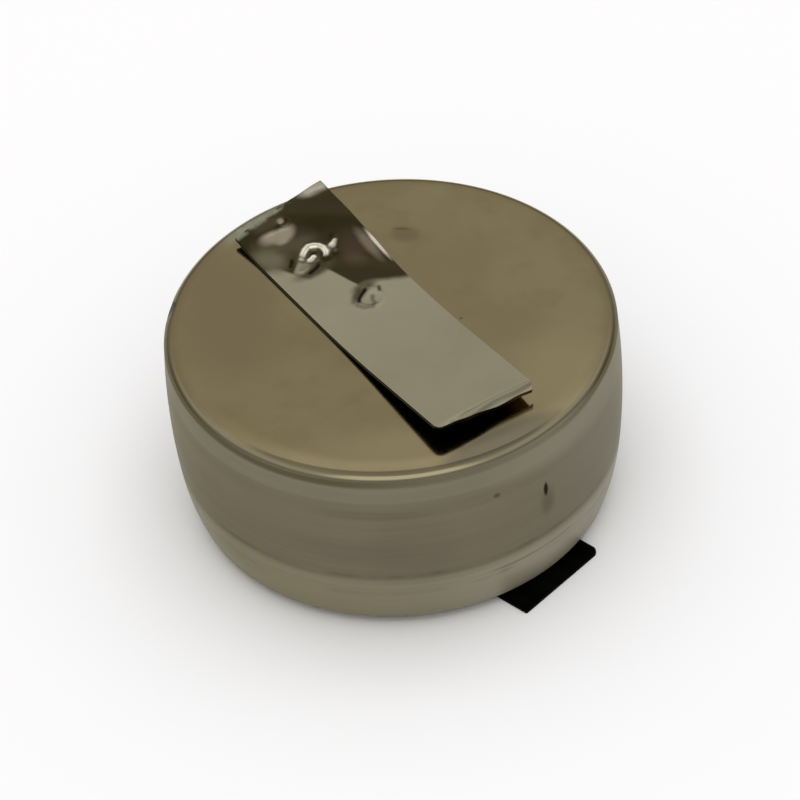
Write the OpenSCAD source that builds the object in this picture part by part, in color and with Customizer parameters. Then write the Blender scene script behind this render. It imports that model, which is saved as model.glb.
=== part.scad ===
// Lithium coin cell with two welded nickel tabs.
// The cell stands on its crimped side: the can's flat is up, and the bottom tab lies under the cap.
// The origin is on the cell's axis, in the plane that the bottom tab rests on. Sizes are in mm.

/* [Can] */
// Diameter of the can at its widest line
can_d = 12.1; // [11:0.1:13.5]
// Height of the cell, from the flat of the cap to the flat of the can
cell_h = 5.6; // [5:0.05:7]
// Radius of the rounded rim round the flat of the can
rim_r = 0.3; // [0.15:0.05:0.5]
// How far the rim stands inside the widest line
rim_inset = 0.05; // [0:0.01:0.2]
// Width of the gentle roll-off between the flat and the rim
roll_w = 0.5; // [0.1:0.05:1]
// Slope that the roll-off reaches at the rim, in degrees
roll_angle = 6; // [1:1:12]
// Depth of the leaning shoulder band, measured from the flat
shoulder_h = 0.95; // [0.6:0.05:1.2]
// How far the foot of the shoulder stands inside the widest line
shoulder_inset = 0.015; // [0:0.005:0.05]
// Depth of the widest line, measured from the flat
belly_depth = 1.8; // [1.5:0.1:2.2]
// How far the wall has drawn in where the crimp starts
wall_inset = 0.135; // [0.02:0.005:0.25]
// Thickness of the can's sheet
can_t = 0.25; // [0.15:0.01:0.35]

/* [Crimp] */
// Height of the crimped band above the lowest point of the lip
crimp_h = 1.4; // [1:0.05:1.8]
// Width of the small step where the crimping tool stopped
crimp_step = 0.02; // [0:0.005:0.05]
// Lean of the wall just below the step, in degrees
crimp_lean_top = 7; // [2:1:12]
// Lean of the wall where it turns under, in degrees
crimp_lean_foot = 20; // [16:1:30]
// Outer radius of the turn under the wall
turn_r = 0.25; // [0.15:0.05:0.4]
// How far the lip reaches in over the seal, from the inner face of the wall
lip_reach = 0.45; // [0.3:0.05:0.7]
// How far the lip stays above the flat of the cap
lip_recess = 0.1; // [0.05:0.01:0.2]

/* [Seal and cap] */
// Width of the seal that shows between the lip and the cap
seal_show = 0.5; // [0.3:0.05:0.8]
// Thickness of the seal where it is clamped
seal_t = 0.2; // [0.15:0.01:0.3]
// How far the seal stays above the lowest point of the lip
seal_recess = 0.03; // [0:0.01:0.1]
// Thickness of the cap's flange
cap_t = 0.25; // [0.15:0.01:0.35]
// Radius of the rounded edge of the cap
cap_edge_r = 0.2; // [0.1:0.05:0.3]

/* [Strips] */
// Width of both nickel strips
strip_w = 2.95; // [2:0.05:4]
// Thickness of both nickel strips
strip_t = 0.1; // [0.08:0.01:0.2]
// Radius of the worn corner at the outer end of each strip
worn_corner_r = 0.2; // [0.05:0.01:0.4]
// Radius of the crisp corner at the outer end of each strip
crisp_corner_r = 0.04; // [0.02:0.01:0.2]

/* [Top tab] */
// Direction in which the free end points, in degrees from +X
top_dir = -60; // [-180:1:180]
// Sideways offset of the strip's centre line from the axis
top_offset = -0.14; // [-0.8:0.02:0.8]
// Reach of the welded end from the axis, at the middle of the strip
top_weld_reach = 5.25; // [4.6:0.05:5.5]
// Skew of the cut across the welded end, in degrees
top_skew = 6.5; // [0:0.5:20]
// Reach of the free end from the axis
top_free_reach = 4.75; // [3.5:0.05:6]
// Distance of the start of the bend behind the axis
bend_start = 1.1; // [0.6:0.05:1.5]
// Length of the gentle bend
bend_len = 2.9; // [1:0.1:4]
// Slope of the free end, in degrees
lift_angle = 6; // [2:0.5:12]
// Depth of the lip that the cutter turned down, at the deeper corner
burr_h = 0.3; // [0.1:0.05:0.4]
// Length of the turned-down lip along the free end
burr_len = 2.7; // [1:0.1:2.9]

/* [Lifted end of the top tab] */
// Distance between the start of the bend and the slanting fold, along the left edge
fold_gap = 0.05; // [0:0.05:0.5]
// Turn of the fold from the strip's own direction, in degrees
fold_turn = 50; // [40:1:80]
// Slope of the sheet between the fold and the fold back, in degrees
fold_angle = 11; // [4:1:16]
// Length of the fold
fold_len = 0.7; // [0.3:0.05:1]
// Length of the sloping sheet between the two folds
fold_rise_len = 1.2; // [0.6:0.1:1.6]
// Length of the fold back
fold_back_len = 0.6; // [0.3:0.05:1]
// Slope that is left beyond the fold back, in degrees
fold_end_angle = 2; // [0:0.5:3]

/* [Bottom tab] */
// Direction in which the bottom tab leaves the cell, in degrees from +X
bottom_dir = -45; // [-180:1:180]
// Sideways offset of the strip's centre line from the axis
bottom_offset = -0.4; // [-0.8:0.05:0.8]
// Reach of the outer end from the axis
bottom_reach = 6.03; // [5.8:0.01:9]
// Distance of the hidden welded end behind the axis
bottom_root = 3.6; // [3.2:0.05:3.7]

/* [Weld marks] */
// Diameter of the two main weld marks, across the crest of the ring
weld_d = 0.74; // [0.5:0.02:1]
// Diameter of the faint weld mark near the welded end
faint_weld_d = 0.32; // [0.2:0.02:0.5]
// Radius of the rounded ring of pushed-up metal
weld_ring_r = 0.05; // [0.03:0.01:0.07]
// Depth of the dimple inside the ring
weld_dimple = 0.05; // [0.02:0.01:0.07]
// Distance of the nearer main weld behind the axis
weld_back = 1.1; // [0.8:0.05:1.6]
// Distance between the two main welds along the strip
weld_pitch = 2.2; // [1.6:0.05:2.6]
// Sideways place of the nearer main weld on the top tab
near_weld_side = 0.16; // [-0.4:0.02:0.4]
// Sideways place of the farther main weld on the top tab
far_weld_side = -0.26; // [-0.4:0.02:0.4]
// Sideways place of the faint weld mark
faint_weld_side = -0.17; // [-0.6:0.01:0.6]
// Distance of the faint weld mark from the welded end of the top tab
faint_weld_edge = 0.55; // [0.4:0.05:1]
// Distance of the hidden weld from the welded end of the bottom tab
bottom_weld_edge = 0.9; // [0.7:0.05:1.2]

/* [Hidden] */

$fn = 96;
steel = "#8f8a76";
polymer = "#2b2a28";
nickel = "#a7a08a";
dark_nickel = "#33302b";

// Levels above the plane that the part rests on
cap_z = strip_t;
flat_z = cap_z + cell_h;
lip_z = cap_z + lip_recess;
lip_inner_z = lip_z + can_t;
flange_z = lip_inner_z + seal_t;
inside_z = flange_z + cap_t;
crimp_z = lip_z + crimp_h;

// Radii of the crimped side, worked inwards from the wall
belly_r = can_d / 2;
crimp_r = belly_r - wall_inset;
turn_z = lip_z + turn_r;
turn_start_z = turn_z - turn_r * sin(crimp_lean_foot);
crimp_arc_r = (crimp_z - crimp_step - turn_start_z) / (sin(crimp_lean_foot) - sin(crimp_lean_top));
turn_start_r = crimp_r - crimp_step - crimp_arc_r * (cos(crimp_lean_top) - cos(crimp_lean_foot));
turn_mid_r = turn_start_r - turn_r * cos(crimp_lean_foot);
wall_inner_r = turn_start_r - can_t;
lip_open_r = wall_inner_r - lip_reach;
flange_r = wall_inner_r - seal_t;
cap_r = lip_open_r - seal_show;

// Points of an arc in the plane of a section
function arc(mid_r, mid_z, r, from, to, steps) =
    [for (i = [0 : steps]) let (a = from + (to - from) * i / steps) [mid_r + r * cos(a), mid_z + r * sin(a)]];

// A smooth bulge between the widest line and another level, as a parabola
function bulge(far_r, far_z, mid_z, steps) =
    [for (i = [1 : steps]) let (t = i / steps)
        [belly_r - (belly_r - far_r) * t * t, mid_z + (far_z - mid_z) * t]];

function reversed(points) = [for (i = [len(points) - 1 : -1 : 0]) points[i]];

// Outline of the can from the edge of the flat down to the turn under the wall
roll_arc_r = roll_w / sin(roll_angle);
rim_mid_r = belly_r - rim_inset - rim_r;
rim_mid_z = flat_z - roll_arc_r * (1 - cos(roll_angle)) - rim_r * cos(roll_angle);
roll_mid_r = rim_mid_r + rim_r * sin(roll_angle) - roll_w;
shoulder_r = belly_r - shoulder_inset;
belly_z = flat_z - belly_depth;
can_outline = concat(
    arc(roll_mid_r, flat_z - roll_arc_r, roll_arc_r, 90, 91 - roll_angle, 4),
    arc(rim_mid_r, rim_mid_z, rim_r, 90 - roll_angle, 0, 8),
    reversed(bulge(shoulder_r, flat_z - shoulder_h, belly_z, 4)),
    [[belly_r, belly_z]],
    bulge(crimp_r, crimp_z, belly_z, 8),
    arc(crimp_r - crimp_step - crimp_arc_r * cos(crimp_lean_top), crimp_z - crimp_step
        + crimp_arc_r * sin(crimp_lean_top), crimp_arc_r, -crimp_lean_top, -crimp_lean_foot, 8),
    arc(turn_mid_r, turn_z, turn_r, -crimp_lean_foot, -90, 8));

// The closed can with its sealed contents: solid above the ceiling of the cap
module can() {
    color(steel)
        rotate_extrude()
            polygon(concat(
                [[0, flat_z]],
                can_outline,
                [[lip_open_r, lip_z], [lip_open_r, lip_inner_z], [wall_inner_r, lip_inner_z],
                 [wall_inner_r, inside_z], [0, inside_z]]));
}

// The insulating ring, folded round the cap's flange and clamped by the lip
module seal_ring() {
    color(polymer)
        rotate_extrude()
            polygon([
                [cap_r, lip_z + seal_recess], [lip_open_r, lip_z + seal_recess],
                [lip_open_r, lip_inner_z], [wall_inner_r, lip_inner_z],
                [wall_inner_r, inside_z], [flange_r, inside_z],
                [flange_r, flange_z], [cap_r, flange_z]]);
}

// The flanged cap that closes the crimped side
module cap() {
    color(steel)
        rotate_extrude()
            polygon(concat(
                [[0, inside_z], [0, cap_z]],
                arc(cap_r - cap_edge_r, cap_z + cap_edge_r, cap_edge_r, -90, 0, 6),
                [[cap_r, flange_z], [flange_r, flange_z], [flange_r, inside_z]]));
}

// Plan outline of a strip along +X: square or skewed at the near end, with two corner radii at the far end
module strip_plan(near, far, skew, right_r, left_r) {
    half = strip_w / 2;
    slant = half * tan(skew);
    polygon(concat(
        [[near - slant, half], [near + slant, -half]],
        arc(far - right_r, -half + right_r, right_r, -90, 0, 6),
        arc(far - left_r, half - left_r, left_r, 0, 90, 6)));
}

// Side view of the top tab: flat on the can, a gentle bend, and a straight rise to the free end
bend_r = bend_len / (lift_angle * PI / 180);
rise_x = -bend_start + bend_r * sin(lift_angle);
rise_z = bend_r * (1 - cos(lift_angle));
free_len = (top_free_reach - rise_x) / cos(lift_angle);
blank_start = -top_weld_reach - strip_w;

module top_tab_side() {
    polygon(concat(
        [[blank_start, 0]],
        arc(-bend_start, bend_r, bend_r, -90, -90 + lift_angle, 10),
        [[rise_x + free_len * cos(lift_angle), rise_z + free_len * sin(lift_angle)],
         [rise_x + free_len * cos(lift_angle) - strip_t * sin(lift_angle),
          rise_z + free_len * sin(lift_angle) + strip_t * cos(lift_angle)]],
        reversed(arc(-bend_start, bend_r, bend_r - strip_t, -90, -90 + lift_angle, 10)),
        [[blank_start, strip_t]]));
}

// Wedge of metal that the cutter turned down along the free end, deepest at the crisp corner
module turned_lip() {
    translate([rise_x, 0, rise_z])
        rotate([0, -lift_angle, 0])
            translate([free_len - strip_t, 0, 0])
                rotate([90, 0, 90])
                    linear_extrude(strip_t)
                        polygon([
                            [strip_w / 2 - burr_len, strip_t / 2],
                            [strip_w / 2 - burr_len, 0],
                            [strip_w / 2 - crisp_corner_r, -burr_h],
                            [strip_w / 2 - crisp_corner_r, strip_t / 2]]);
}

// Ring of metal that the electrode pushed up: round above the strip's upper face and rooted in the strip
module weld_ring(d) {
    rotate_extrude()
        polygon(concat(
            arc(d / 2, 0, weld_ring_r, 0, 180, 10),
            [[d / 2 - weld_ring_r, -weld_ring_r], [d / 2 + weld_ring_r, -weld_ring_r]]));
}

// Hollow that the electrode pressed inside the ring: a shallow bowl, open upwards between the ring's flanks
module weld_hollow(d) {
    mouth = d / 2 - weld_ring_r / 2;
    ball_r = (mouth * mouth + weld_dimple * weld_dimple) / (2 * weld_dimple);
    rotate_extrude()
        polygon(concat(
            arc(0, ball_r - weld_dimple, ball_r, -90, -90 + asin(mouth / ball_r), 6),
            [[mouth, 2 * weld_ring_r], [0, 2 * weld_ring_r]]));
}

// The welded end is folded up about a slanting line and folded back beyond it, so it lies over the can
fold_x = -bend_start - fold_gap;
fold_y = strip_w / 2;
fold_r = fold_len / (fold_angle * PI / 180);
fold_back_r = fold_back_len / ((fold_angle - fold_end_angle) * PI / 180);
fold_back_x = fold_r * sin(fold_angle) + fold_rise_len * cos(fold_angle);
fold_back_z = fold_r * (1 - cos(fold_angle)) + fold_rise_len * sin(fold_angle);
back_mid_x = fold_back_x + fold_back_r * sin(fold_angle);
back_mid_z = fold_back_z - fold_back_r * cos(fold_angle);
fold_up_x = fold_r * sin(fold_angle);
fold_end_x = back_mid_x - fold_back_r * sin(fold_end_angle);
fold_blank = top_weld_reach + strip_w;

// How far a place on the strip lies beyond the fold, and the slope and height of the underside there
function fold_run(x, y) = (y - fold_y) * cos(fold_turn) - (x - fold_x) * sin(fold_turn);
function fold_slope(run) =
    run < 0 ? 0
    : run < fold_up_x ? asin(run / fold_r)
    : run < fold_back_x ? fold_angle
    : run < fold_end_x ? asin((back_mid_x - run) / fold_back_r)
    : fold_end_angle;
function fold_height(run) =
    run < fold_up_x ? fold_r * (1 - cos(fold_slope(run)))
    : run < fold_back_x ? fold_r * (1 - cos(fold_angle)) + (run - fold_up_x) * tan(fold_angle)
    : back_mid_z + fold_back_r * cos(fold_slope(run)) + max(0, run - fold_end_x) * tan(fold_end_angle);

// Side line of the folded sheet: the lower face where t is 0, the upper face where t is its thickness
function fold_face(t) = concat(
    arc(0, fold_r, fold_r - t, -90, -90 + fold_angle, 6),
    arc(back_mid_x, back_mid_z, fold_back_r + t, 90 + fold_angle, 90 + fold_end_angle, 6),
    [[back_mid_x - (fold_back_r + t) * sin(fold_end_angle) + fold_blank * cos(fold_end_angle),
      back_mid_z + (fold_back_r + t) * cos(fold_end_angle) + fold_blank * sin(fold_end_angle)]]);

// Lays its children along the fold: their X runs beyond the fold, their Y upwards
module beyond_fold() {
    translate([fold_x, fold_y, 0])
        rotate([0, 0, fold_turn])
            rotate([90, 0, 90])
                linear_extrude(4 * can_d, center = true)
                    children();
}

// Places on the top tab: distance along the strip, sideways offset and diameter of each weld mark
top_welds = [
    [-weld_back - weld_pitch, far_weld_side, weld_d],
    [-weld_back, near_weld_side, weld_d],
    [-top_weld_reach + faint_weld_edge, faint_weld_side, faint_weld_d]];

// Sets its children on the upper face of the top tab, square to the sheet there
module on_top_tab(x, y) {
    run = fold_run(x, y);
    translate([x, y, fold_height(run)])
        rotate([0, 0, fold_turn])
            rotate([fold_slope(run), 0, 0])
                translate([0, 0, strip_t])
                    children();
}

module top_plan() {
    linear_extrude(cell_h)
        strip_plan(-top_weld_reach, top_free_reach, top_skew, worn_corner_r, crisp_corner_r);
}

module top_tab() {
    color(nickel)
        translate([0, 0, flat_z])
            rotate([0, 0, top_dir])
                translate([0, top_offset, 0])
                    difference() {
                        union() {
                            intersection() {
                                rotate([90, 0, 0])
                                    linear_extrude(strip_w, center = true)
                                        top_tab_side();
                                top_plan();
                                beyond_fold()
                                    translate([-2 * can_d, 0])
                                        square([2 * can_d, cell_h]);
                            }
                            intersection() {
                                beyond_fold()
                                    polygon(concat(fold_face(0), reversed(fold_face(strip_t))));
                                top_plan();
                            }
                            turned_lip();
                            for (w = top_welds)
                                on_top_tab(w[0], w[1])
                                    weld_ring(w[2]);
                        }
                        for (w = top_welds)
                            on_top_tab(w[0], w[1])
                                weld_hollow(w[2]);
                    }
}

// Places on the bottom tab: distance along the strip of each weld mark
bottom_welds = [for (i = [0, 1]) -bottom_root + bottom_weld_edge + i * weld_pitch];

module bottom_tab() {
    color(dark_nickel)
        rotate([0, 0, bottom_dir])
            translate([0, bottom_offset, 0])
                difference() {
                    linear_extrude(strip_t)
                        strip_plan(-bottom_root, bottom_reach, 0, crisp_corner_r, worn_corner_r);
                    for (x = bottom_welds)
                        translate([x, 0, 0])
                            mirror([0, 0, 1])
                                weld_hollow(weld_d);
                }
}

can();
seal_ring();
cap();
top_tab();
bottom_tab();
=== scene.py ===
"""Lithium coin cell with two welded nickel strips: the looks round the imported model.

The cell stands on its crimped side. Lengths in this file are millimetres until a mesh is finished,
and x runs along a strip and y across it while that strip is being made.
"""

import math

import bmesh
import bpy
from mathutils import Matrix, Vector


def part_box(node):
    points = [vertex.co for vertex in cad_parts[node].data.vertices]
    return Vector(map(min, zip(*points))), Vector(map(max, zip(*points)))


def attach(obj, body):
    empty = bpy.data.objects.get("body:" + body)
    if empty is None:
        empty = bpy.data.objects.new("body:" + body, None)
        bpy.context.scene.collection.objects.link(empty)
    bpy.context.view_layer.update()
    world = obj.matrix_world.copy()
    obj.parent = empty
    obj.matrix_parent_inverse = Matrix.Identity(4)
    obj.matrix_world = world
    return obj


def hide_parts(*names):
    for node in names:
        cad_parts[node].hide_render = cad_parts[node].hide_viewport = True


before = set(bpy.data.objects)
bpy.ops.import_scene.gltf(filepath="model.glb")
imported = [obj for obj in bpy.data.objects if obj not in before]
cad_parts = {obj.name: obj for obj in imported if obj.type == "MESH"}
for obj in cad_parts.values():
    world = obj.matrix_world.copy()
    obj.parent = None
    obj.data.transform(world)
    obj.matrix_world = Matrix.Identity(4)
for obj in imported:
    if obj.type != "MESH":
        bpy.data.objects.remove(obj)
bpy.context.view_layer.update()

MM = 0.001
UP = Vector((0, 0, 1))


def mm_box(node):
    """Lowest and highest corner of a node, in millimetres."""
    low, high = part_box(node)
    return low / MM, high / MM


# Can: the sizes that its box gives, then the forms of its section
can_low, can_high = mm_box("can")
belly_r = can_high.x
flat_z = can_high.z
lip_z = can_low.z
rim_r = 0.3
rim_inset = 0.05
roll_w = 0.5
roll_angle = math.radians(6)
shoulder_h = 0.95
shoulder_inset = 0.015
belly_depth = 1.8
wall_inset = 0.135
sheet_t = 0.25
crimp_h = 1.4
crimp_step = 0.002
crimp_lean_top = math.radians(7)
crimp_lean_foot = math.radians(20)
turn_r = 0.25
lip_edge_r = 0.05

# Nick in the rim: its place, its turn, its half sizes, its depth, how many half sizes out it fades, and
# the half sizes of its dark mark
nick_azimuth = math.radians(166.5)
nick_from_axis = 5.95
nick_spot = (nick_from_axis * math.cos(nick_azimuth), nick_from_axis * math.sin(nick_azimuth))
nick_turn = nick_azimuth + math.pi / 2
nick_half_w = 0.3
nick_half_d = 0.12
nick_depth = 0.02
nick_fade = 3
nick_mark_half_w = 0.32
nick_mark_half_d = 0.16

# Cap and seal: what shows of them under the cell. cap_gap and flange_drop are how far the hidden top of
# the cap and the underside of its flange lie below the can's inside, and hair is the smallest gap
cap_low, cap_high = mm_box("cap")
cap_z = cap_low.z
inside_z = cap_high.z
flange_r = cap_high.x
seal_show_z = mm_box("seal_ring")[0].z
cap_r = 4.40
cap_edge_r = 0.2
cap_gap = 0.02
flange_drop = 0.25
lip_reach = 0.45
lip_gap = 0.02
seal_gap = 0.02
seal_chamfer = 0.02
seal_outer_chamfer = 0.04
hair = 0.01

# Strips: both are cut from the same nickel ribbon
strip_w = 2.95
strip_t = 0.1
worn_corner_r = 0.2
crisp_corner_r = 0.04
edge_r = 0.012

# Top strip
top_dir = math.radians(-60)
top_offset = -0.14
top_weld_reach = 5.25
welds_end = -0.45
top_skew = math.radians(6.5)
top_free_reach = 4.75
bend_start = -1.1
bend_len = 2.9
lift_angle = math.radians(6)

# The welded end is folded up about a slanting line through this point, and folded back beyond it
fold_spot = (-1.15, strip_w / 2)
fold_turn = math.radians(50)
fold_len = 0.7
fold_angle = math.radians(11)
fold_rise_len = 1.2
fold_back_len = 0.6
fold_end_angle = math.radians(2)

# Lip that the cutter turned down along the free end: (place across the strip, depth)
lip_run = 0.17
lip_depths = ((-1.5, 0.0), (-1.0, 0.04), (-0.4, 0.13), (0.5, 0.26), (1.0, 0.22), (1.5, 0.26))

# Bottom strip
bottom_dir = math.radians(-45)
bottom_offset = -0.4
bottom_reach = 6.03
bottom_root = 3.6

# Steps of the runs and arcs of a section, of a full turn, and of a strip's grid
flat_steps = 12
roll_steps = 10
rim_steps = 20
shoulder_steps = 10
belly_steps = 20
crimp_steps = 14
turn_steps = 14
lip_steps = 5
cap_steps = 8
cap_edge_steps = 14
round_steps = 288
corner_steps = 8
fine_step = 0.025
plain_step = 0.1
cutter_zone = 0.3
hidden_step = 0.05
far_step = 0.2

# Weld marks: place along the strip, place across it, half length, half width, turn of the long axis
main_weld = (-3.28, -0.32, 0.50, 0.30, math.radians(-53))
second_weld = (-1.06, 0.16, 0.40, 0.36, math.radians(20))
faint_weld = (-4.72, -0.17, 0.16, 0.14, math.radians(60))
bottom_welds = tuple((x, 0.0, 0.37, 0.37, 0.0) for x in (-2.7, -0.5))

# In the same way: the grey lower end of the main weld, and where the top strip is brown underneath
weld_foot = (-3.07, -0.62, 0.27, 0.15, math.radians(-62))
brown_corner = (4.60, 1.30, 0.5, 0.5, 0.0)

# Spot welds of the top strip: mark, height of its ring, depth of its hollow. ring_w is a ring's width
# in half sizes of its mark
top_welds = ((main_weld, 0.0, 0.02), (second_weld, 0.012, 0.012), (faint_weld, 0.012, 0.008))
bottom_hollow = 0.04
ring_w = 0.2

# What the electrodes and the bending left in the sheet, as soft rises and hollows:
# place along, place across, half length, half width, turn, height
dents = (
    (-4.48, -0.50, 0.16, 0.60, math.radians(-8), 0.014),
    (-4.05, 0.00, 0.30, 0.80, math.radians(-20), -0.025),
    (-2.75, 0.85, 0.70, 0.40, math.radians(25), -0.02),
    (-2.60, 1.62, 0.60, 0.24, 0.0, 0.035),
    (-5.25, 1.25, 0.25, 0.40, 0.0, 0.05),
)

# Ridges and grooves of the welds: points (along, across) of a line, half width, height, and tone,
# where 1 is light bare metal, partly a painted highlight, and -1 is painted shade
weld_strokes = (
    (((-3.08, 0.12), (-3.20, 0.20), (-3.34, 0.21), (-3.47, 0.15), (-3.57, 0.04), (-3.62, -0.09),
      (-3.57, -0.22), (-3.47, -0.34)), 0.105, 0.075, 1.0),
    (((-3.47, -0.34), (-3.36, -0.48)), 0.11, 0.03, 0.5),
    (((-3.36, -0.48), (-3.20, -0.70), (-3.06, -0.84)), 0.12, 0.012, 0.33),
    (((-3.05, -0.10), (-2.96, -0.40), (-2.94, -0.70), (-3.04, -0.86)), 0.12, 0.012, 0.33),
    (((-3.26, -0.18), (-3.21, -0.28)), 0.10, 0.055, 1.0),
    (((-3.18, 0.03), (-3.36, 0.04), (-3.44, -0.10), (-3.38, -0.26)), 0.06, -0.03, -0.5),
    (((-3.46, -0.72), (-3.33, -0.84)), 0.07, -0.015, -0.8),
    (((-2.93, -0.22), (-2.86, -0.40), (-2.82, -0.56)), 0.08, -0.03, -1.0),
    (((-3.02, 0.10), (-2.88, -0.12)), 0.12, -0.01, -0.45),
    (((-3.40, 0.56), (-3.28, 0.45)), 0.12, 0.03, 0.75),
    (((-3.30, 0.45), (-3.19, 0.28)), 0.14, 0.012, 0.34),
    (((-3.28, 0.47), (-3.08, 0.42)), 0.12, 0.008, 0.28),
    (((-3.53, 0.60), (-3.47, 0.50)), 0.08, -0.015, -0.8),
    (((-1.36, 0.24), (-1.28, 0.09), (-1.18, -0.05), (-1.07, -0.13)), 0.07, -0.03, -0.85),
    (((-1.40, 0.10), (-1.28, -0.10), (-1.10, -0.25)), 0.15, -0.005, -0.5),
    (((-1.26, 0.62), (-1.12, 0.55)), 0.07, -0.015, -0.65),
    (((-1.09, -0.17), (-0.92, -0.26), (-0.75, -0.17), (-0.66, 0.02)), 0.12, 0.008, -0.46),
    (((-1.05, 0.28), (-0.92, 0.20), (-0.78, 0.18), (-0.70, 0.08)), 0.09, -0.01, -0.5),
)


# Section outlines

def arc(mid_r, mid_z, r, start, end, steps):
    """Points of an arc in a section, from the start angle to the end angle in degrees."""
    angles = [math.radians(start + (end - start) * i / steps) for i in range(steps + 1)]
    return [(mid_r + r * math.cos(a), mid_z + r * math.sin(a)) for a in angles]


def bulge(far_r, far_z, mid_z, steps):
    """A smooth bulge from the widest line to another level, as a parabola."""
    return [(belly_r - (belly_r - far_r) * (i / steps) ** 2, mid_z + (far_z - mid_z) * i / steps)
            for i in range(1, steps + 1)]


def can_outline():
    """Section of the can from the middle of its flat down to the lip that grips the seal, and the
    radius of the lip's opening."""
    roll = math.degrees(roll_angle)
    roll_arc_r = roll_w / math.sin(roll_angle)
    rim_mid_r = belly_r - rim_inset - rim_r
    rim_mid_z = flat_z - roll_arc_r * (1 - math.cos(roll_angle)) - rim_r * math.cos(roll_angle)
    roll_mid_r = rim_mid_r + rim_r * math.sin(roll_angle) - roll_w
    belly_z = flat_z - belly_depth
    crimp_z = lip_z + crimp_h
    crimp_r = belly_r - wall_inset
    turn_z = lip_z + turn_r
    turn_start_z = turn_z - turn_r * math.sin(crimp_lean_foot)
    crimp_arc_r = ((crimp_z - crimp_step - turn_start_z)
                   / (math.sin(crimp_lean_foot) - math.sin(crimp_lean_top)))
    turn_start_r = crimp_r - crimp_step - crimp_arc_r * (math.cos(crimp_lean_top) - math.cos(crimp_lean_foot))
    turn_mid_r = turn_start_r - turn_r * math.cos(crimp_lean_foot)
    opening_r = turn_start_r - sheet_t - lip_reach
    lean_top, lean_foot = math.degrees(crimp_lean_top), math.degrees(crimp_lean_foot)
    flat = [(roll_mid_r * i / flat_steps, flat_z) for i in range(flat_steps)]
    return (
        flat
        + arc(roll_mid_r, flat_z - roll_arc_r, roll_arc_r, 90, 90 - roll, roll_steps)
        + arc(rim_mid_r, rim_mid_z, rim_r, 90 - roll, 0, rim_steps)[1:]
        + list(reversed(bulge(belly_r - shoulder_inset, flat_z - shoulder_h, belly_z, shoulder_steps)))
        + [(belly_r, belly_z)]
        + bulge(crimp_r, crimp_z, belly_z, belly_steps)
        + arc(crimp_r - crimp_step - crimp_arc_r * math.cos(crimp_lean_top),
              crimp_z - crimp_step + crimp_arc_r * math.sin(crimp_lean_top),
              crimp_arc_r, -lean_top, -lean_foot, crimp_steps)
        + arc(turn_mid_r, turn_z, turn_r, -lean_foot, -90, turn_steps)[1:]
        + arc(opening_r + lip_edge_r, lip_z + lip_edge_r, lip_edge_r, -90, -180, lip_steps)
        + [(opening_r, lip_z + sheet_t), (turn_start_r - sheet_t, lip_z + sheet_t),
           (turn_start_r - sheet_t, inside_z), (0, inside_z)]
    ), opening_r


can_section, lip_open_r = can_outline()


# Meshes

def finish_mesh(name, bm, smooth_under=35):
    """Turns a finished bmesh in millimetres into an object in metres, smooth but for its sharp edges."""
    bmesh.ops.scale(bm, vec=(MM, MM, MM), verts=bm.verts)
    mesh = bpy.data.meshes.new(name)
    bm.to_mesh(mesh)
    bm.free()
    mesh.shade_smooth()
    mesh.set_sharp_from_angle(angle=math.radians(smooth_under))
    obj = bpy.data.objects.new(name, mesh)
    bpy.context.scene.collection.objects.link(obj)
    return obj


def spun(outline):
    """A closed round form from a section of (radius, level) points."""
    merge_under = 1e-5
    bm = bmesh.new()
    points = [bm.verts.new((r, 0, z)) for r, z in outline]
    lines = [bm.edges.new(pair) for pair in zip(points, points[1:])]
    bmesh.ops.spin(bm, geom=points + lines, cent=(0, 0, 0), axis=UP, angle=2 * math.pi,
                   steps=round_steps, use_merge=True)
    bmesh.ops.remove_doubles(bm, verts=bm.verts, dist=merge_under)
    bmesh.ops.recalc_face_normals(bm, faces=bm.faces)
    return bm


def smooth_step(low, high, value):
    """Goes smoothly from 0 to 1 as the value goes from low to high."""
    t = min(1, max(0, (value - low) / (high - low)))
    return t * t * (3 - 2 * t)


def along(points, x):
    """Height at x of a line through (x, height) points."""
    if x <= points[0][0]:
        return points[0][1]
    for (x0, h0), (x1, h1) in zip(points, points[1:]):
        if x <= x1:
            return h0 + (h1 - h0) * smooth_step(x0, x1, x)
    return points[-1][1]


def turned(x, y, mid_x, mid_y, size_x, size_y, turn):
    """Where (x, y) lies along and across a turned ellipse, in shares of its half sizes."""
    dx, dy = x - mid_x, y - mid_y
    c, s = math.cos(turn), math.sin(turn)
    return (dx * c + dy * s) / size_x, (dy * c - dx * s) / size_y


def cut_off(bm, point, outward):
    """Cuts away what lies beyond a plane."""
    bmesh.ops.bisect_plane(bm, geom=bm.verts[:] + bm.edges[:] + bm.faces[:], plane_co=point,
                           plane_no=outward, clear_outer=True)


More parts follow.
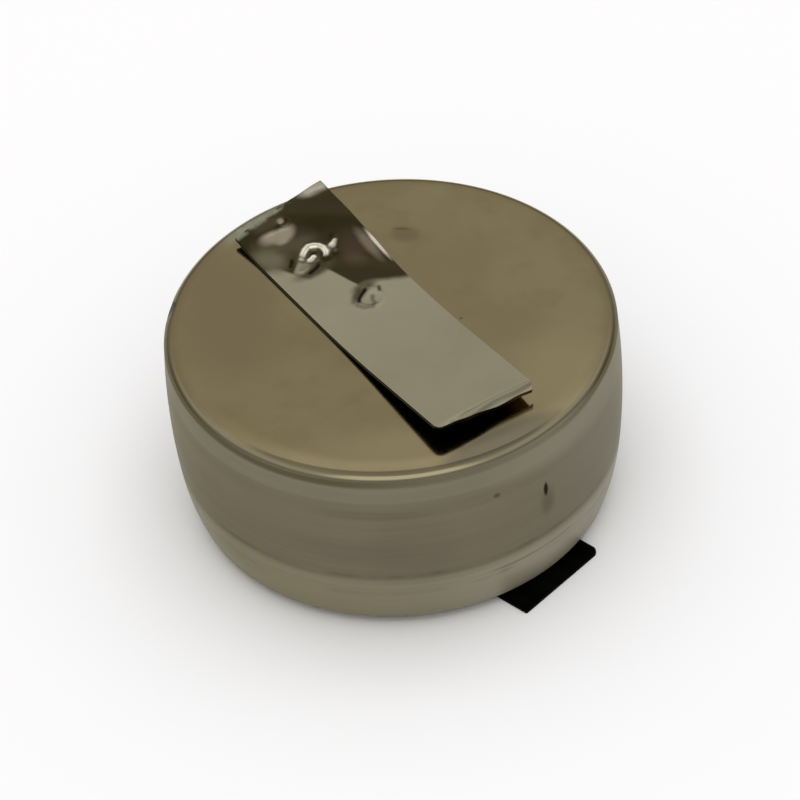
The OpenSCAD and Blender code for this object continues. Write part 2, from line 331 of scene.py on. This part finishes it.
def strip_blank(near, far, skew, right_r, left_r, steps, step_across):
    """A flat strip along x, skewed at its near end and with rounded corners at its far end. steps holds
    (reach, grid step up to there)."""
    sharp_edge = 1.2
    level_edge = 1e-6
    half = strip_w / 2
    stops = []
    x = near - half * math.tan(skew)
    for reach, step in steps:
        while x < reach - step / 2:
            stops.append(x)
            x += step
    stops.append(far)
    bm = bmesh.new()
    bmesh.ops.create_grid(bm, x_segments=len(stops) - 1, y_segments=round(strip_w / step_across), size=0.5)
    for v in bm.verts:
        v.co.x = stops[round((v.co.x + 0.5) * (len(stops) - 1))]
        v.co.y *= strip_w
    cut_off(bm, Vector((near, 0, 0)), Vector((-math.cos(skew), -math.sin(skew), 0)))
    for radius, side in ((right_r, -1), (left_r, 1)):
        mid = Vector((far - radius, side * (half - radius), 0))
        for i in range(1, corner_steps):
            a = math.radians(90 * i / corner_steps)
            outward = Vector((math.cos(a), side * math.sin(a), 0))
            cut_off(bm, mid + outward * radius, outward)
    grown = bmesh.ops.extrude_face_region(bm, geom=bm.faces[:])
    raised = [g for g in grown["geom"] if isinstance(g, bmesh.types.BMVert)]
    bmesh.ops.translate(bm, vec=UP * strip_t, verts=raised)
    bmesh.ops.recalc_face_normals(bm, faces=bm.faces)
    rims = [e for e in bm.edges if e.is_manifold and e.calc_face_angle() > sharp_edge
            and abs(e.verts[0].co.z - e.verts[1].co.z) < level_edge]
    bmesh.ops.bevel(bm, geom=rims, offset=edge_r, offset_type="OFFSET", affect="EDGES", segments=2,
                    profile=0.5, material=-1, clamp_overlap=True)
    return bm


def bent(run, length, angle):
    """Height of a sheet that bends over a length and then runs on straight at an angle."""
    bend_r = length / angle
    arc_run = bend_r * math.sin(angle)
    if run <= 0:
        return 0.0
    if run <= arc_run:
        return bend_r - math.sqrt(bend_r * bend_r - run * run)
    return bend_r * (1 - math.cos(angle)) + (run - arc_run) * math.tan(angle)


def folded(run):
    """Height of the sheet beyond the fold: it bends up, rises, bends back and runs on."""
    fold_r = fold_len / fold_angle
    back_r = fold_back_len / (fold_angle - fold_end_angle)
    back_x = fold_r * math.sin(fold_angle) + fold_rise_len * math.cos(fold_angle)
    mid_x = back_x + back_r * math.sin(fold_angle)
    end_x = mid_x - back_r * math.sin(fold_end_angle)
    if run <= back_x:
        return bent(run, fold_len, fold_angle)
    mid_z = bent(back_x, fold_len, fold_angle) - back_r * math.cos(fold_angle)
    arc_x = min(run, end_x)
    arc_z = mid_z + math.sqrt(back_r * back_r - (mid_x - arc_x) ** 2)
    return arc_z + (run - arc_x) * math.tan(fold_end_angle)


def top_rise(x, y):
    """Height of the top strip's underside over the can."""
    run = (y - fold_spot[1]) * math.cos(fold_turn) - (x - fold_spot[0]) * math.sin(fold_turn)
    return bent(x - bend_start, bend_len, lift_angle) + folded(run)


def weld_relief(x, y, weld, ring_h, hollow):
    """Height of a spot weld: a raised ring round a hollow."""
    out = math.hypot(*turned(x, y, *weld))
    return ring_h * math.exp(-((out - 1) / ring_w) ** 2) - hollow * max(0.0, 1 - out * out)


def from_line(x, y, points):
    """Distance of (x, y) from a line through points."""
    near = math.inf
    for (x0, y0), (x1, y1) in zip(points, points[1:]):
        run_x, run_y = x1 - x0, y1 - y0
        share = ((x - x0) * run_x + (y - y0) * run_y) / (run_x ** 2 + run_y ** 2)
        share = min(1.0, max(0.0, share))
        near = min(near, math.hypot(x - x0 - share * run_x, y - y0 - share * run_y))
    return near


def stroke_relief(x, y):
    """Height and tone that the strokes of the welds give a point."""
    heights, tones = [0.0], [0.0]
    for points, half_w, height, tone in weld_strokes:
        share = math.exp(-(from_line(x, y, points) / half_w) ** 2)
        heights.append(height * share)
        tones.append(tone * share)
    return min(heights) + max(heights), min(tones) + max(tones)


def place(bm, direction, offset, level):
    """Turns a strip from the x axis to its direction, beside the axis by its offset and on its level."""
    bmesh.ops.transform(
        bm, verts=bm.verts,
        matrix=Matrix.Rotation(direction, 4, "Z") @ Matrix.Translation((0, offset, level)))


def make_can():
    """The can, with the nick in its rim."""
    bm = spun(can_section)
    for v in bm.verts:
        out = math.hypot(*turned(v.co.x, v.co.y, *nick_spot, nick_half_w, nick_half_d, nick_turn))
        if v.co.z > flat_z - rim_r and out < nick_fade:
            depth = nick_depth * math.exp(-out * out)
            v.co -= depth * Vector((nick_spot[0] / belly_r, nick_spot[1] / belly_r, 1))
    return finish_mesh("can_shell", bm, smooth_under=60)


def make_seal():
    """The seal ring: its fold between the cap and the can's lip, and the part that they grip."""
    inner_r = cap_r + seal_gap
    outer_r = lip_open_r - lip_gap
    lip_top = lip_z + sheet_t
    flange_z = inside_z - flange_drop
    section = [
        (inner_r, flange_z), (inner_r, seal_show_z + seal_chamfer), (inner_r + seal_chamfer, seal_show_z),
        (outer_r - seal_outer_chamfer, seal_show_z), (outer_r, seal_show_z + seal_chamfer),
        (lip_open_r - hair, lip_top), (flange_r, lip_top), (flange_r, flange_z), (inner_r, flange_z)]
    return finish_mesh("seal_fold", spun(section), smooth_under=60)


def make_cap():
    """The cap: a shallow cup with a flange, closed at its hidden top."""
    cup_r = cap_r - cap_edge_r
    hidden_z = inside_z - cap_gap
    flange_z = inside_z - flange_drop
    section = (
        [(0, hidden_z)]
        + [(cup_r * i / cap_steps, cap_z) for i in range(cap_steps + 1)]
        + arc(cup_r, cap_z + cap_edge_r, cap_edge_r, -90, 0, cap_edge_steps)[1:]
        + [(cap_r, flange_z), (flange_r - hair, flange_z), (flange_r - hair, hidden_z), (0, hidden_z)])
    return finish_mesh("cap_cup", spun(section), smooth_under=60)


def make_top_strip():
    """The top strip: dented and spot-welded at one end, bent up and cut off at the other. The tone of
    the weld strokes goes to its material as an attribute."""
    steps = ((welds_end, fine_step), (top_free_reach - cutter_zone, plain_step), (top_free_reach, fine_step))
    bm = strip_blank(-top_weld_reach, top_free_reach, top_skew, worn_corner_r, crisp_corner_r,
                     steps, fine_step)
    weld_tone = bm.verts.layers.float.new("weld_tone")
    for v in bm.verts:
        x, y, z = v.co
        if z > strip_t / 2 and x < welds_end:
            z += sum(h * math.exp(-math.hypot(*turned(x, y, *form)) ** 2) for *form, h in dents)
            z += sum(weld_relief(x, y, *weld) for weld in top_welds)
            stroke_h, v[weld_tone] = stroke_relief(x, y)
            z += stroke_h
        over = max(0.0, (x - top_free_reach + lip_run) / lip_run)
        v.co.z = z + top_rise(x, y) - along(lip_depths, y) * over * over
    place(bm, top_dir, top_offset, flat_z)
    return finish_mesh("top_strip", bm, smooth_under=50)


def make_bottom_strip():
    """The bottom strip, with the hollows of two spot welds on its underside."""
    bm = strip_blank(-bottom_root, bottom_reach, 0, crisp_corner_r, worn_corner_r,
                     ((0.0, hidden_step), (bottom_reach, far_step)), hidden_step)
    for v in bm.verts:
        if v.co.z < strip_t / 2:
            v.co.z -= sum(weld_relief(v.co.x, v.co.y, w, 0, bottom_hollow) for w in bottom_welds)
    place(bm, bottom_dir, bottom_offset, 0)
    return finish_mesh("bottom_strip", bm, smooth_under=40)


# Finishes

class Wire:
    """An output socket of a node. Arithmetic on it adds Math nodes."""

    def __init__(self, nodes, socket):
        self.nodes = nodes
        self.socket = socket

    def math(self, operation, first, second=0.0):
        return self.nodes.node("ShaderNodeMath", {"operation": operation}, {0: first, 1: second})

    def __add__(self, other):
        return self.math("ADD", self, other)

    def __sub__(self, other):
        return self.math("SUBTRACT", self, other)

    def __rsub__(self, other):
        return self.math("SUBTRACT", other, self)

    def __mul__(self, other):
        return self.math("MULTIPLY", self, other)

    def __truediv__(self, other):
        return self.math("DIVIDE", self, other)

    def __pow__(self, other):
        return self.math("POWER", self, other)

    def __abs__(self):
        return self.math("ABSOLUTE", self)

    __radd__ = __add__
    __rmul__ = __mul__

    def low(self, other):
        return self.math("MINIMUM", self, other)

    def high(self, other):
        return self.math("MAXIMUM", self, other)

    def ramp(self, low, high, to_low=0.0, to_high=1.0):
        """Goes smoothly from to_low to to_high as this value goes from low to high."""
        return self.nodes.node("ShaderNodeMapRange", {"interpolation_type": "SMOOTHSTEP"}, {
            "Value": self, "From Min": low, "From Max": high, "To Min": to_low, "To Max": to_high})

    def band(self, rise_from, rise_to, fall_from, fall_to):
        """1 in a band of this value, and 0 below and above it."""
        return self.ramp(rise_from, rise_to) * self.ramp(fall_from, fall_to, 1, 0)


class Nodes:
    """The nodes of a material or of the surroundings."""

    def __init__(self, tree):
        self.tree = tree

    def node(self, kind, settings=None, inputs=None, output=0):
        """Adds a node: its settings first, then the values or wires of its sockets."""
        made = self.tree.nodes.new(kind)
        for key, value in (settings or {}).items():
            if key == "stops":
                self.set_stops(made.color_ramp, value)
            else:
                setattr(made, key, value)
        for key, value in (inputs or {}).items():
            self.join(value, made.inputs[key])
        return Wire(self, made.outputs[output])

    def set_stops(self, ramp, stops):
        """Gives a colour ramp its (position, colour) stops."""
        while len(ramp.elements) < len(stops):
            ramp.elements.new(0.5)
        for element, (position, colour) in zip(ramp.elements, stops):
            element.position = position
            element.color = (*colour, 1)

    def split(self, vector):
        """The x, y and z of a vector."""
        made = self.node("ShaderNodeSeparateXYZ", {}, {"Vector": vector}).socket.node
        return [Wire(self, s) for s in made.outputs]

    def vector(self, x, y, z):
        return self.node("ShaderNodeCombineXYZ", {}, {"X": x, "Y": y, "Z": z})

    def mix(self, mask, first, second):
        """first where the mask is 0, second where it is 1."""
        sides = {"Factor_Float": mask, "A_Color": first, "B_Color": second}
        made = self.node("ShaderNodeMix", {"data_type": "RGBA", "clamp_factor": True}).socket.node
        for socket in made.inputs:
            if socket.identifier in sides:
                self.join(sides[socket.identifier], socket)
        return Wire(self, next(s for s in made.outputs if s.identifier == "Result_Color"))

    def join(self, value, socket):
        """Links a wire to a socket, or gives the socket a value."""
        if isinstance(value, Wire):
            self.tree.links.new(value.socket, socket)
        elif hasattr(value, "__len__") and len(value) == 3 and len(socket.default_value) == 4:
            socket.default_value = (*value, 1)
        else:
            socket.default_value = value


class Finish(Nodes):
    """One metal or polymer finish, built from nodes on Object coordinates in millimetres."""

    def __init__(self, name, turn=0.0, offset=0.0, **constants):
        self.material = bpy.data.materials.new(name)
        self.material.use_nodes = True
        super().__init__(self.material.node_tree)
        self.shader = self.tree.nodes["Principled BSDF"]
        for key, value in constants.items():
            self.join(value, self.shader.inputs[key.replace("_", " ")])
        spot = self.node("ShaderNodeTexCoord", output="Object")
        self.point = self.node("ShaderNodeMapping", {}, {
            "Vector": spot, "Location": (0, -offset, 0), "Rotation": (0, 0, -turn), "Scale": (1 / MM,) * 3})
        self.x, self.y, self.z = self.split(self.point)

    def noise(self, scale, detail=3.0, stretch=(1, 1, 1), shift=(0, 0, 0)):
        """Noise from 0 to 1. The scale is in cells per millimetre, and stretch squeezes it per axis."""
        spot = self.node("ShaderNodeMapping", {}, {"Vector": self.point, "Location": shift, "Scale": stretch})
        return self.node("ShaderNodeTexNoise", {}, {"Vector": spot, "Scale": scale, "Detail": detail})

    def out_of(self, form, spot=None):
        """How far out a point lies of a turned ellipse (x, y, half length, half width, turn): 1 on it."""
        x, y, half_x, half_y, turn = form
        far_up = 1e4
        here = self.node("ShaderNodeMapping", {"vector_type": "TEXTURE"}, {
            "Vector": spot or self.point, "Location": (x, y, 0), "Rotation": (0, 0, turn),
            "Scale": (half_x, half_y, far_up)})
        return self.node("ShaderNodeVectorMath", {"operation": "LENGTH"}, {0: here}, output="Value")

    def patch(self, form, soft=0.5, spot=None, ragged=0.0):
        """A soft patch of the shape of out_of: 1 within it and 0 outside."""
        out = self.out_of(form, spot)
        if ragged:
            out = out + self.noise(3.0) * ragged - ragged / 2
        return out.ramp(1 - soft, 1 + soft, 1, 0)

    def blot(self, base, blots):
        """Lays (form, softness, colour) patches over a colour, one after another, with ragged edges."""
        for form, soft, colour in blots:
            base = self.mix(self.patch(form, soft, ragged=0.35), base, colour)
        return base

    def set(self, colour, roughness=None, metallic=None, height=None, depth=0.01):
        """Feeds the shader. depth is the height in millimetres that a height of 1 stands for."""
        for name, value in (("Base Color", colour), ("Roughness", roughness), ("Metallic", metallic)):
            if value is not None:
                self.join(value, self.shader.inputs[name])
        if height is not None:
            bump = self.node("ShaderNodeBump", {}, {
                "Height": height, "Distance": depth * MM, "Strength": 1.0}, output="Normal")
            self.join(bump, self.shader.inputs["Normal"])
        return self.material


def can_flat(f):
    """Colour of the can's flat: drifts of gold and brown, pale and dark blots, smudges and specks."""
    gold = (0.268, 0.231, 0.137)
    brown = (0.246, 0.207, 0.121)
    pale = (0.302, 0.262, 0.157)
    dark = (0.226, 0.188, 0.111)
    grey = (0.191, 0.168, 0.119)
    smudge_brown = (0.196, 0.165, 0.097)
    stain_brown = (0.15, 0.118, 0.07)
    flat = f.mix(f.noise(0.35, shift=(3, 7, 0)).ramp(0.36, 0.62), gold, brown)
    flat = f.mix(f.noise(1.3, shift=(5, 2, 0)).ramp(0.45, 0.7, 0, 0.3), flat, smudge_brown)
    return f.blot(flat, (
        # The pale blot along the front edge is painted light
        ((0.30, -4.90, 2.3, 0.7, 0.0), 0.7, pale),
        ((4.30, -2.40, 1.2, 1.6, math.radians(-25)), 0.7, pale),
        ((-4.30, 0.80, 1.4, 2.6, math.radians(5)), 0.8, dark),
        # The grey blot in front of the top strip's free end is the strip's painted shadow
        ((2.75, -4.95, 1.75, 0.55, math.radians(25)), 0.3, grey),
        ((0.62, 3.45, 0.38, 0.30, math.radians(-20)), 0.5, smudge_brown),
        ((0.52, 3.68, 0.20, 0.05, math.radians(-10)), 0.8, stain_brown),
        ((1.87, -0.12, 0.05, 0.04, 0.0), 0.6, stain_brown),
        ((2.24, -1.23, 0.05, 0.04, 0.0), 0.6, stain_brown)))


# Dark marks of the can's wall: azimuth in degrees, depth below the flat, half width, half height,
# softness, strength. The scratch and its halo come first
wall_marks = (
    (-52.7, 1.98, 0.07, 0.22, 0.4, 1.0),
    (-52.2, 2.45, 0.20, 0.40, 0.7, 0.3),
    (-143.0, 4.35, 1.3, 0.4, 0.8, 0.15),
    (-66.9, 1.36, 0.09, 0.07, 0.6, 0.5),
    (-58.5, 3.58, 0.25, 0.06, 0.8, 0.2),
    (-65.5, 4.25, 0.18, 0.06, 0.8, 0.25),
    (-71.8, 4.28, 0.30, 0.05, 0.8, 0.15),
    (-103.0, 2.65, 1.5, 0.40, 0.5, 0.05),
    (-89.0, 2.6, 1.15, 1.3, 0.4, 0.05),
    (-98.0, 1.35, 1.3, 0.15, 0.6, 0.10),
)
rust_and_crease_shade_black = (0.012, 0.008, 0.005)


def can_side(f, depth, azimuth, lines, crimp_mask):
    """Colour of the can's wall and crimp: bands down its depth, drawn lines, marks and creases."""
    shoulder_painted_light_grey = (0.218, 0.196, 0.142)
    wall_grey = (0.190, 0.167, 0.117)
    band_grey = (0.181, 0.158, 0.110)
    crimp_painted_light_grey = (0.238, 0.216, 0.148)
    crimp_brown = (0.190, 0.150, 0.030)
    right_painted_light_pale = (0.300, 0.280, 0.215)
    right_painted_reflection_grey = (0.205, 0.200, 0.162)
    line_brown = (0.1, 0.09, 0.06)

    # Colours at depths below the flat. The ramp of the bands spans this depth. The paler shoulder is a
    # painted reflection of the lit floor, and the paler crimp is painted light
    bands = ((0.0, shoulder_painted_light_grey), (0.87, shoulder_painted_light_grey), (0.98, wall_grey), (1.15, band_grey),
             (1.4, band_grey), (1.55, wall_grey), (2.6, band_grey), (2.8, band_grey), (3.05, wall_grey),
             (3.68, wall_grey), (3.8, crimp_painted_light_grey), (5.6, crimp_painted_light_grey))
    span = 6.0
    side = f.node("ShaderNodeValToRGB", {"stops": [(d / span, c) for d, c in bands]}, {"Fac": depth / span})
    side = f.mix(lines.ramp(0.3, 0.7, 0, 0.13), side, line_brown)

    # The right side is greyer, a painted reflection. The crimp goes from olive on the left to pale on the
    # right, where the shoulder is paler too, and this pale is painted light
    rightward = f.x / belly_r
    shoulder = depth.ramp(1.0, 1.4, 1, 0)
    side = f.mix(rightward.ramp(0.45, 0.95, 0, 0.6), side, right_painted_reflection_grey)
    side = f.mix(crimp_mask * rightward.ramp(-0.7, 0.3, 0.35, 0), side, crimp_brown)
    side = f.mix(crimp_mask * rightward.ramp(0.0, 0.5, 0, 0.65), side, right_painted_light_pale)
    side = f.mix(shoulder * rightward.ramp(0.3, 0.7, 0, 0.3), side, right_painted_light_pale)

    unrolled = f.vector(azimuth * belly_r, f.z, 0.0)
    for mark_azimuth, mark_depth, half_w, half_h, soft, strength in wall_marks:
        form = (math.radians(mark_azimuth) * belly_r, flat_z - mark_depth, half_w, half_h, 0.0)
        side = f.mix(f.patch(form, soft, unrolled) * strength, side, rust_and_crease_shade_black)

    # Broken creases above and below the start of the crimp, darkened as painted shade
    creases = depth.band(3.50, 3.57, 3.61, 3.68) + depth.band(4.18, 4.26, 4.30, 4.38) * 0.6
    broken = f.noise(0.6, stretch=(1, 1, 0.01)).ramp(0.42, 0.65, 0, 0.22)
    return f.mix(creases * broken, side, rust_and_crease_shade_black)


def plated_steel():
    f = Finish("plated_steel", Specular_Tint=(0.78, 0.76, 0.68))
    rim_cream = (0.30, 0.275, 0.19)
    painted_shade_olive = (0.095, 0.078, 0.036)
    scuff_grey = (0.33, 0.345, 0.275)
    front = -math.pi / 2

    depth = flat_z - f.z
    azimuth = f.node("ShaderNodeMath", {"operation": "ARCTAN2"}, {0: f.y, 1: f.x})
    from_axis = f.out_of((0, 0, 1, 1, 0))
    lines = f.noise(1.0, 4, stretch=(0.22, 0.22, 7.0))
    crimp_mask = depth.ramp(3.6, 4.1)
    wall = depth.ramp(0.12, 0.26)
    on_rim = depth.ramp(0.2, 0.45, 1, 0)

    # The flat darkens towards its edge away from the front, a painted shade, and the rim is paler
    edge_shade = from_axis.ramp(5.5, 5.85) * abs(azimuth - front).ramp(0.5, 1.2, 0, 0.22)
    flat = f.mix(edge_shade, can_flat(f), painted_shade_olive)
    colour = f.mix(depth.ramp(0.03, 0.08), flat, rim_cream)
    colour = f.mix(wall, colour, can_side(f, depth, azimuth, lines, crimp_mask))

    # A dark line runs below the rim, a painted reflection of darker surroundings. It is weakest a little to
    # the right of the front, and higher at the sides and the back
    line_strength = abs(azimuth + 1.15).ramp(0.2, 0.8, 0.38, 0.85)
    below = depth + azimuth.ramp(-3.0, -2.1, 0.14, 0.02) + azimuth.ramp(-0.8, -0.35, 0, 0.12)
    colour = f.mix(below.band(0.19, 0.28, 0.36, 0.48) * line_strength, colour, painted_shade_olive)

    nick_mark = (*nick_spot, nick_mark_half_w, nick_mark_half_d, nick_turn)
    nick = f.patch(nick_mark, 0.35, ragged=0.6) * on_rim
    colour = f.mix(nick, colour, rust_and_crease_shade_black)

    # Scuffed rim beyond the welded end of the strip
    scuffs = f.noise(2.5, shift=(2, 1, 0)).ramp(0.3, 0.65, 0.4, 1) * on_rim
    scuffed = from_axis.ramp(5.35, 5.5) * azimuth.band(1.92, 2.10, 2.30, 2.48) * scuffs
    colour = f.mix(scuffed, colour, scuff_grey)

    height = lines * wall + f.noise(22) * 0.3
    roughness = f.noise(0.6).ramp(0.3, 0.7, 0.10, 0.15) + wall * 0.30 + nick * 0.3
    metallic = 1 - crimp_mask * 0.8 - nick * 0.7
    return f.set(colour, roughness, metallic, height=height, depth=0.002)


def cap_steel():
    f = Finish("cap_steel", Metallic=1.0)
    plating = (0.30, 0.26, 0.17)
    stained = (0.25, 0.21, 0.135)
    stains = f.noise(0.6, 4)
    colour = f.mix(stains.ramp(0.35, 0.65), plating, stained)
    return f.set(colour, stains.ramp(0.3, 0.7, 0.24, 0.32), height=f.noise(18), depth=0.001)


def seal_polymer():
    f = Finish("seal_polymer")
    moulded_black = (0.012, 0.012, 0.013)
    rubbed_black = (0.03, 0.029, 0.027)
    grain = f.noise(9, 4)
    colour = f.mix(grain, moulded_black, rubbed_black)
    return f.set(colour, grain.ramp(0.3, 0.7, 0.45, 0.6), height=grain, depth=0.01)


def nickel_strip():
    f = Finish("nickel_strip", turn=top_dir, offset=top_offset, Metallic=1.0)
    light = (0.360, 0.336, 0.247)
    light_worn = (0.343, 0.320, 0.233)
    heat_tint_dark_reflection = (0.045, 0.036, 0.018)
    heat_brown = (0.088, 0.073, 0.046)
    heat_violet = (0.090, 0.065, 0.043)
    heat_olive = (0.15, 0.135, 0.085)
    under_brown = (0.15, 0.095, 0.03)
    painted_shade_dark = (0.010, 0.008, 0.004)
    painted_glint_halo_grey = (0.27, 0.225, 0.17)
    weld_grey = (0.24, 0.225, 0.155)
    grey = (0.49, 0.432, 0.34)
    raw_grey = (0.31, 0.325, 0.26)
    pale = (0.45, 0.43, 0.36)
    bare_metal_and_painted_highlight = (0.97, 0.93, 0.82)

    # The heat tint, painted darker still as a dark reflection, ends along a line that steps across the strip
    wander = f.noise(2.2, shift=(1, 5, 2)) * 0.16 - 0.08
    border = (f.y.ramp(0.44, 1.6, -1.55, -1.08) + f.y.ramp(-0.16, 0.29, -1.1, 0)
              + f.y.ramp(-1.31, -0.66, -0.9, 0))
    tinted_and_shaded = (f.x - border + wander).ramp(-0.15, 0.15, 1, 0)
    colour = f.mix(f.noise(0.5).ramp(0.3, 0.7), light, light_worn)
    colour = f.mix(tinted_and_shaded, colour, heat_tint_dark_reflection)
    colour = f.blot(colour, (
        ((-2.88, 0.88, 0.50, 0.34, math.radians(-10)), 0.7, heat_violet),
        ((-4.00, -0.35, 0.42, 0.62, 0.0), 0.5, heat_brown),
        ((-3.90, -1.15, 0.55, 0.36, 0.0), 0.6, heat_olive),
        ((-4.92, -0.55, 0.16, 0.42, 0.0), 0.5, heat_brown),
        # The next two grey blots are metal less tinted by heat, and partly a painted reflection
        ((-4.36, -0.36, 0.20, 0.32, math.radians(20)), 0.5, grey),
        ((-4.46, -0.70, 0.18, 0.29, math.radians(-12)), 0.7, grey),
        ((-4.80, -0.20, 0.07, 0.08, 0.0), 0.7, grey),
        ((-5.27, 1.20, 0.20, 0.45, 0.0), 0.6, pale),
        # The next two: the soft painted halo of a glint along the strip's edge, and the painted glint
        ((-2.72, 1.26, 0.52, 0.13, 0.0), 0.7, painted_glint_halo_grey),
        ((-2.55, 1.44, 0.50, 0.05, 0.0), 0.6, bare_metal_and_painted_highlight),
        ((-2.82, -0.44, 0.20, 0.50, 0.0), 0.7, heat_brown),
        ((-1.48, 0.30, 0.15, 0.32, 0.0), 0.8, heat_brown),
        ((-1.36, 0.10, 0.34, 0.13, math.radians(-56)), 0.8, heat_olive)))

    # Within the main weld the metal is brown between the bright ridges, and grey at its lower end
    colour = f.mix(f.patch(main_weld, 0.2), colour, heat_brown)
    colour = f.mix(f.patch(weld_foot), colour, weld_grey)
    tone = f.node("ShaderNodeAttribute", {"attribute_name": "weld_tone"}, output="Fac")
    # The ridges are light bare metal with a painted highlight, and the grooves get painted shade
    colour = f.mix(tone.ramp(0.15, 0.85), colour, bare_metal_and_painted_highlight)
    colour = f.mix(tone.ramp(-0.85, -0.1, 1, 0), colour, painted_shade_dark)

    # Raw edge of the cut across the welded end
    from_cut = f.x + top_weld_reach + f.y * math.tan(top_skew)
    raw = from_cut.ramp(0.05, 0.20, 1, 0) * f.y.ramp(0.1, 0.6, 1, 0) * f.noise(2.6, 2).ramp(0.3, 0.6)
    colour = f.mix(raw, colour, raw_grey)

    # The side faces and the underside are painted black as their shade, but not the steep top of the lip.
    # The underside turns brown near the far corner of the free end
    facing = f.split(f.node("ShaderNodeNewGeometry", output="Normal"))[2]
    painted_shade_black = facing.ramp(0.25, 0.5, 1, 0) * f.x.ramp(4.5, 4.6, 1, 0)
    under = facing.ramp(0.06, 0.2, 1, 0)
    under_colour = f.mix(f.patch(brown_corner, 0.6), painted_shade_dark, under_brown)
    colour = f.mix(painted_shade_black.high(under), colour, under_colour)

    rolling = f.noise(1.0, 4, stretch=(0.3, 12, 1))
    roughness = f.noise(0.8).ramp(0.3, 0.7, 0.22, 0.3) - tinted_and_shaded * 0.05
    return f.set(colour, roughness, height=rolling, depth=0.0007)


# The bottom strip is painted nearly black: a painted dark reflection of the shaded crimp beside it
def dark_nickel_strip():
    f = Finish("dark_nickel_strip", turn=bottom_dir, Specular_IOR_Level=0.02)
    painted_shade_black = (0.0006, 0.0007, 0.0004)
    rubbed_grey = (0.003, 0.003, 0.0025)
    rubbed = f.noise(1.2, 4, stretch=(0.4, 2, 1))
    colour = f.mix(rubbed.ramp(0.4, 0.8), painted_shade_black, rubbed_grey)
    return f.set(colour, rubbed.ramp(0.3, 0.7, 0.4, 0.55), height=f.noise(14), depth=0.003)


# Each piece: how it is made, its finish, the node that it replaces, and its slot
pieces = (
    (make_can, plated_steel, "can", "plated_steel"),
    (make_seal, seal_polymer, "seal_ring", "seal_polymer"),
    (make_cap, cap_steel, "cap", "cap_steel"),
    (make_top_strip, nickel_strip, "top_tab", "nickel_strip"),
    (make_bottom_strip, dark_nickel_strip, "bottom_tab", "dark_nickel_strip"),
)
for make, paint, node, slot in pieces:
    piece = make()
    piece.data.materials.append(paint())
    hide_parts(node)
    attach(piece, "root")


# Camera: 12 diameters from the middle of the can's flat, and turned from it a little to frame the cell
view_distance = 145.2
view_elevation = math.radians(41.542)
view_roll = math.radians(4.812)
view_yaw = math.radians(0.0357)
view_pitch = math.radians(0.826)
focal_px = 5513.9
frame_px = 800
sensor_mm = 36


def add_camera():
    e = view_elevation
    camera = bpy.data.cameras.new("camera")
    camera.sensor_width = sensor_mm
    camera.lens = focal_px / frame_px * sensor_mm
    camera.clip_start = 0.005
    camera.clip_end = 10
    obj = bpy.data.objects.new("camera", camera)
    bpy.context.scene.collection.objects.link(obj)
    level = Matrix(((1, 0, 0), (0, math.sin(e), math.cos(e)), (0, -math.cos(e), math.sin(e))))
    turn = (Matrix.Rotation(view_roll, 3, "Z") @ Matrix.Rotation(view_yaw, 3, "Y")
            @ Matrix.Rotation(view_pitch, 3, "X") @ level)
    back = Vector((0, -math.cos(e), math.sin(e)))
    spot = (back * view_distance + UP * flat_z) * MM
    obj.matrix_world = Matrix.Translation(spot) @ turn.transposed().to_4x4()
    bpy.context.scene.camera = obj


# Floor, light and surroundings
floor_half = 1500
lamp_up = 250
lamp_w = 250
lamp_radiance = 1.78
lamp_colour = (0.96, 0.97, 1.0)


def add_floor():
    bm = bmesh.new()
    bmesh.ops.create_grid(bm, x_segments=1, y_segments=1, size=floor_half)
    floor = finish_mesh("floor", bm)
    f = Finish("pale_floor", Roughness=0.9)
    pale = (0.905, 0.915, 0.955)
    shaded = (0.89, 0.90, 0.94)
    floor.data.materials.append(f.set(f.mix(f.noise(0.02, 2), pale, shaded)))


def add_overhead_lamp():
    """A square soft light straight above, which faces down. The metal doesn't mirror it."""
    width = lamp_w * MM
    light = bpy.data.lights.new("overhead_lamp", "AREA")
    light.shape = "SQUARE"
    light.size = width
    light.energy = lamp_radiance * math.pi * width * width
    light.color = lamp_colour
    obj = bpy.data.objects.new("overhead_lamp", light)
    obj.location = UP * lamp_up * MM
    obj.visible_glossy = False
    bpy.context.scene.collection.objects.link(obj)


def add_surroundings():
    """A pale studio: light walls under a darker ceiling, a lit stretch of ceiling behind the cell, and
    a soft window in front."""
    ground_grey = (0.40, 0.385, 0.35)
    low_grey = (0.42, 0.40, 0.37)
    wall_cream = (0.75, 0.72, 0.66)
    ceiling_grey = (0.52, 0.50, 0.46)
    lit_cream = (1.0, 0.96, 0.90)
    window_cream = (1.38, 1.33, 1.19)
    world = bpy.data.worlds.new("studio")
    world.use_nodes = True
    sky = Nodes(world.node_tree)

    # y points backward, and z is the sine of the height over the horizon. backward is y's share of the
    # level part of a direction, and the limit on z squared keeps that part from being 0
    z_squared_limit = 0.999
    y, z = sky.split(sky.node("ShaderNodeTexCoord", output="Generated"))[1:]
    room = sky.node("ShaderNodeValToRGB", {"stops": (
        (0.0, ground_grey), (0.36, low_grey), (0.50, wall_cream), (0.74, wall_cream),
        (0.87, ceiling_grey), (1.0, ceiling_grey))}, {"Fac": z})
    backward = y / (1 - (z * z).low(z_squared_limit)) ** 0.5
    lit_ceiling = backward.ramp(0.1, 0.5) * z.band(0.70, 0.77, 0.84, 0.89)
    colour = sky.mix(lit_ceiling, room, lit_cream)
    window = (backward * -1).ramp(0.70, 0.92) * z.band(0.40, 0.58, 0.84, 0.95)
    colour = sky.mix(window, colour, window_cream)
    sky.join(colour, world.node_tree.nodes["Background"].inputs["Color"])
    bpy.context.scene.world = world
    bpy.context.scene.view_settings.view_transform = "Standard"


add_camera()
add_floor()
add_overhead_lamp()
add_surroundings()
